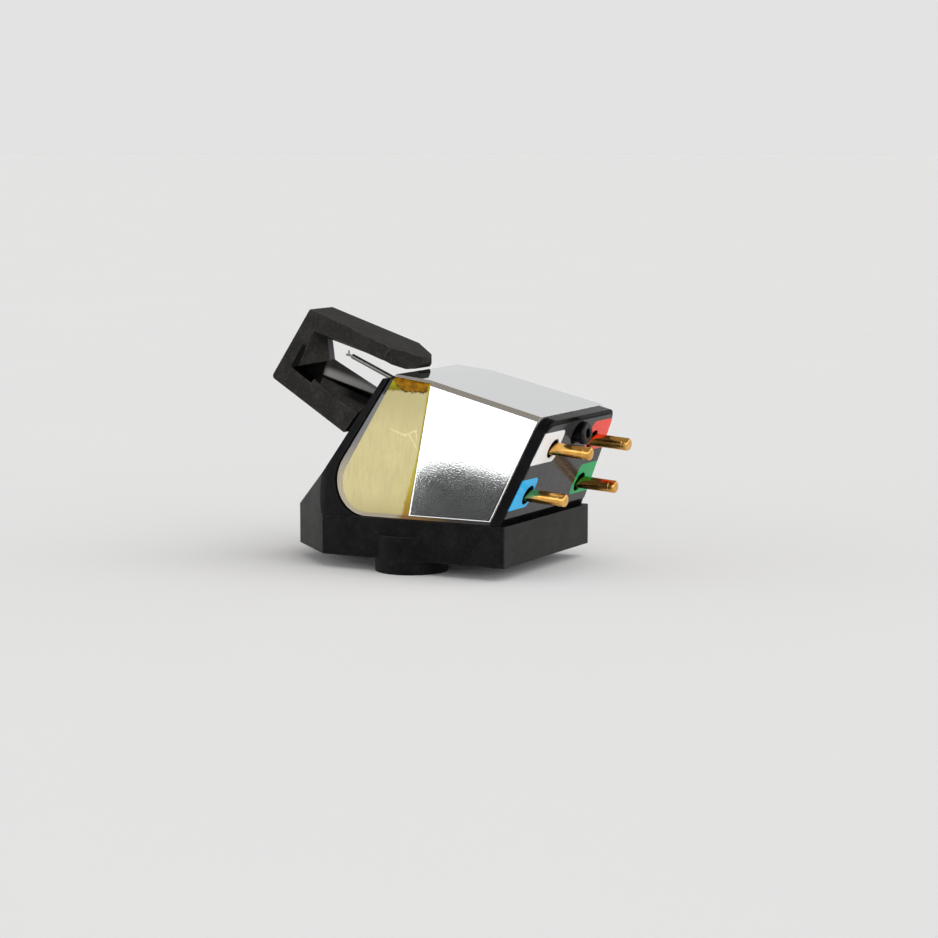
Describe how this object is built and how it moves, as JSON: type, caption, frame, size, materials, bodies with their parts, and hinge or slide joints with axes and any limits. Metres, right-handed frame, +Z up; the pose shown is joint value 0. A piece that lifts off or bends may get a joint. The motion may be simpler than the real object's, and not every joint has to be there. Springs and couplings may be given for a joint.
{
  "type": "turntable stylus cartridge",
  "caption": "Moving-coil phono cartridge lying stylus up: black mounting block, clear cover with amber sides, folded mirror shield, colour-coded terminal pins and a slip-on stylus guard.",
  "frame": {"origin": "midway between the two mounting holes, on the mounting face that the part lies on", "axes": "+X to the rear, where the terminal pins are; +Y across, to the right seen from the pins; +Z up, from the mounting face towards the stylus"},
  "size_m": [0.0356, 0.0196, 0.0236],
  "materials": {
    "black_plastic": "fine matte moulding",
    "guard_plastic": "fine matte moulding, slightly worn",
    "clear_plastic": "clear",
    "polished_steel": "mirror polished sheet",
    "amber_film": "translucent yellow film",
    "label_film": "printed film with a colour patch round each terminal",
    "black_screw": "gloss black",
    "soft_iron": "plated",
    "magnet": "nickel plated",
    "brass": "turned",
    "steel_wire": "drawn",
    "copper_winding": "enamelled copper wire",
    "aluminium": "polished",
    "diamond": "polished",
    "damper_rubber": "matte",
    "gold_plate": "gold plated, polished",
    "white_lead": "enamelled fine wire",
    "red_lead": "enamelled fine wire",
    "blue_lead": "enamelled fine wire",
    "green_lead": "enamelled fine wire"
  },
  "bodies": {
    "cartridge": {"mounting_block": "black_plastic", "clear_cover": "clear_plastic", "polished_shield": "polished_steel", "amber_film_near": "amber_film", "amber_film_far": "amber_film", "rear_cap": "black_plastic", "terminal_label": "label_film", "cap_screw": "black_screw", "front_yoke": "soft_iron", "rear_yoke": "soft_iron", "magnet": "magnet", "pole_pipe": "soft_iron", "wire_sleeve": "brass", "tie_wire": "steel_wire", "clamp_screw": "brass", "white_pin": "gold_plate", "white_lead": "white_lead", "red_pin": "gold_plate", "red_lead": "red_lead", "blue_pin": "gold_plate", "blue_lead": "blue_lead", "green_pin": "gold_plate", "green_lead": "green_lead"},
    "guard": {"stylus_guard": "guard_plastic"},
    "suspension": {"damper_ring": "damper_rubber"},
    "moving_system": {"armature": "soft_iron", "left_coil": "copper_winding", "right_coil": "copper_winding", "cantilever_collar": "aluminium", "cantilever": "aluminium", "stylus_tip": "diamond"}
  },
  "joints": [
    {"name": "guard_slide", "type": "slide", "parent": "cartridge", "child": "guard", "axis": [-0.8988, 0, 0.4384], "range_m": [0, 0.014]},
    {"name": "stylus_sway", "type": "hinge", "parent": "cartridge", "child": "suspension", "pos_m": [-0.00173, 0, 0.01545], "axis": [0.3987, 0, 0.9171], "range_deg": [-3, 3], "stiffness_Nm_per_rad": 0.0096},
    {"name": "stylus_pitch", "type": "hinge", "parent": "suspension", "child": "moving_system", "pos_m": [-0.00173, 0, 0.01545], "axis": [0, 1, 0], "range_deg": [-4, 4], "stiffness_Nm_per_rad": 0.0096}
  ]
}
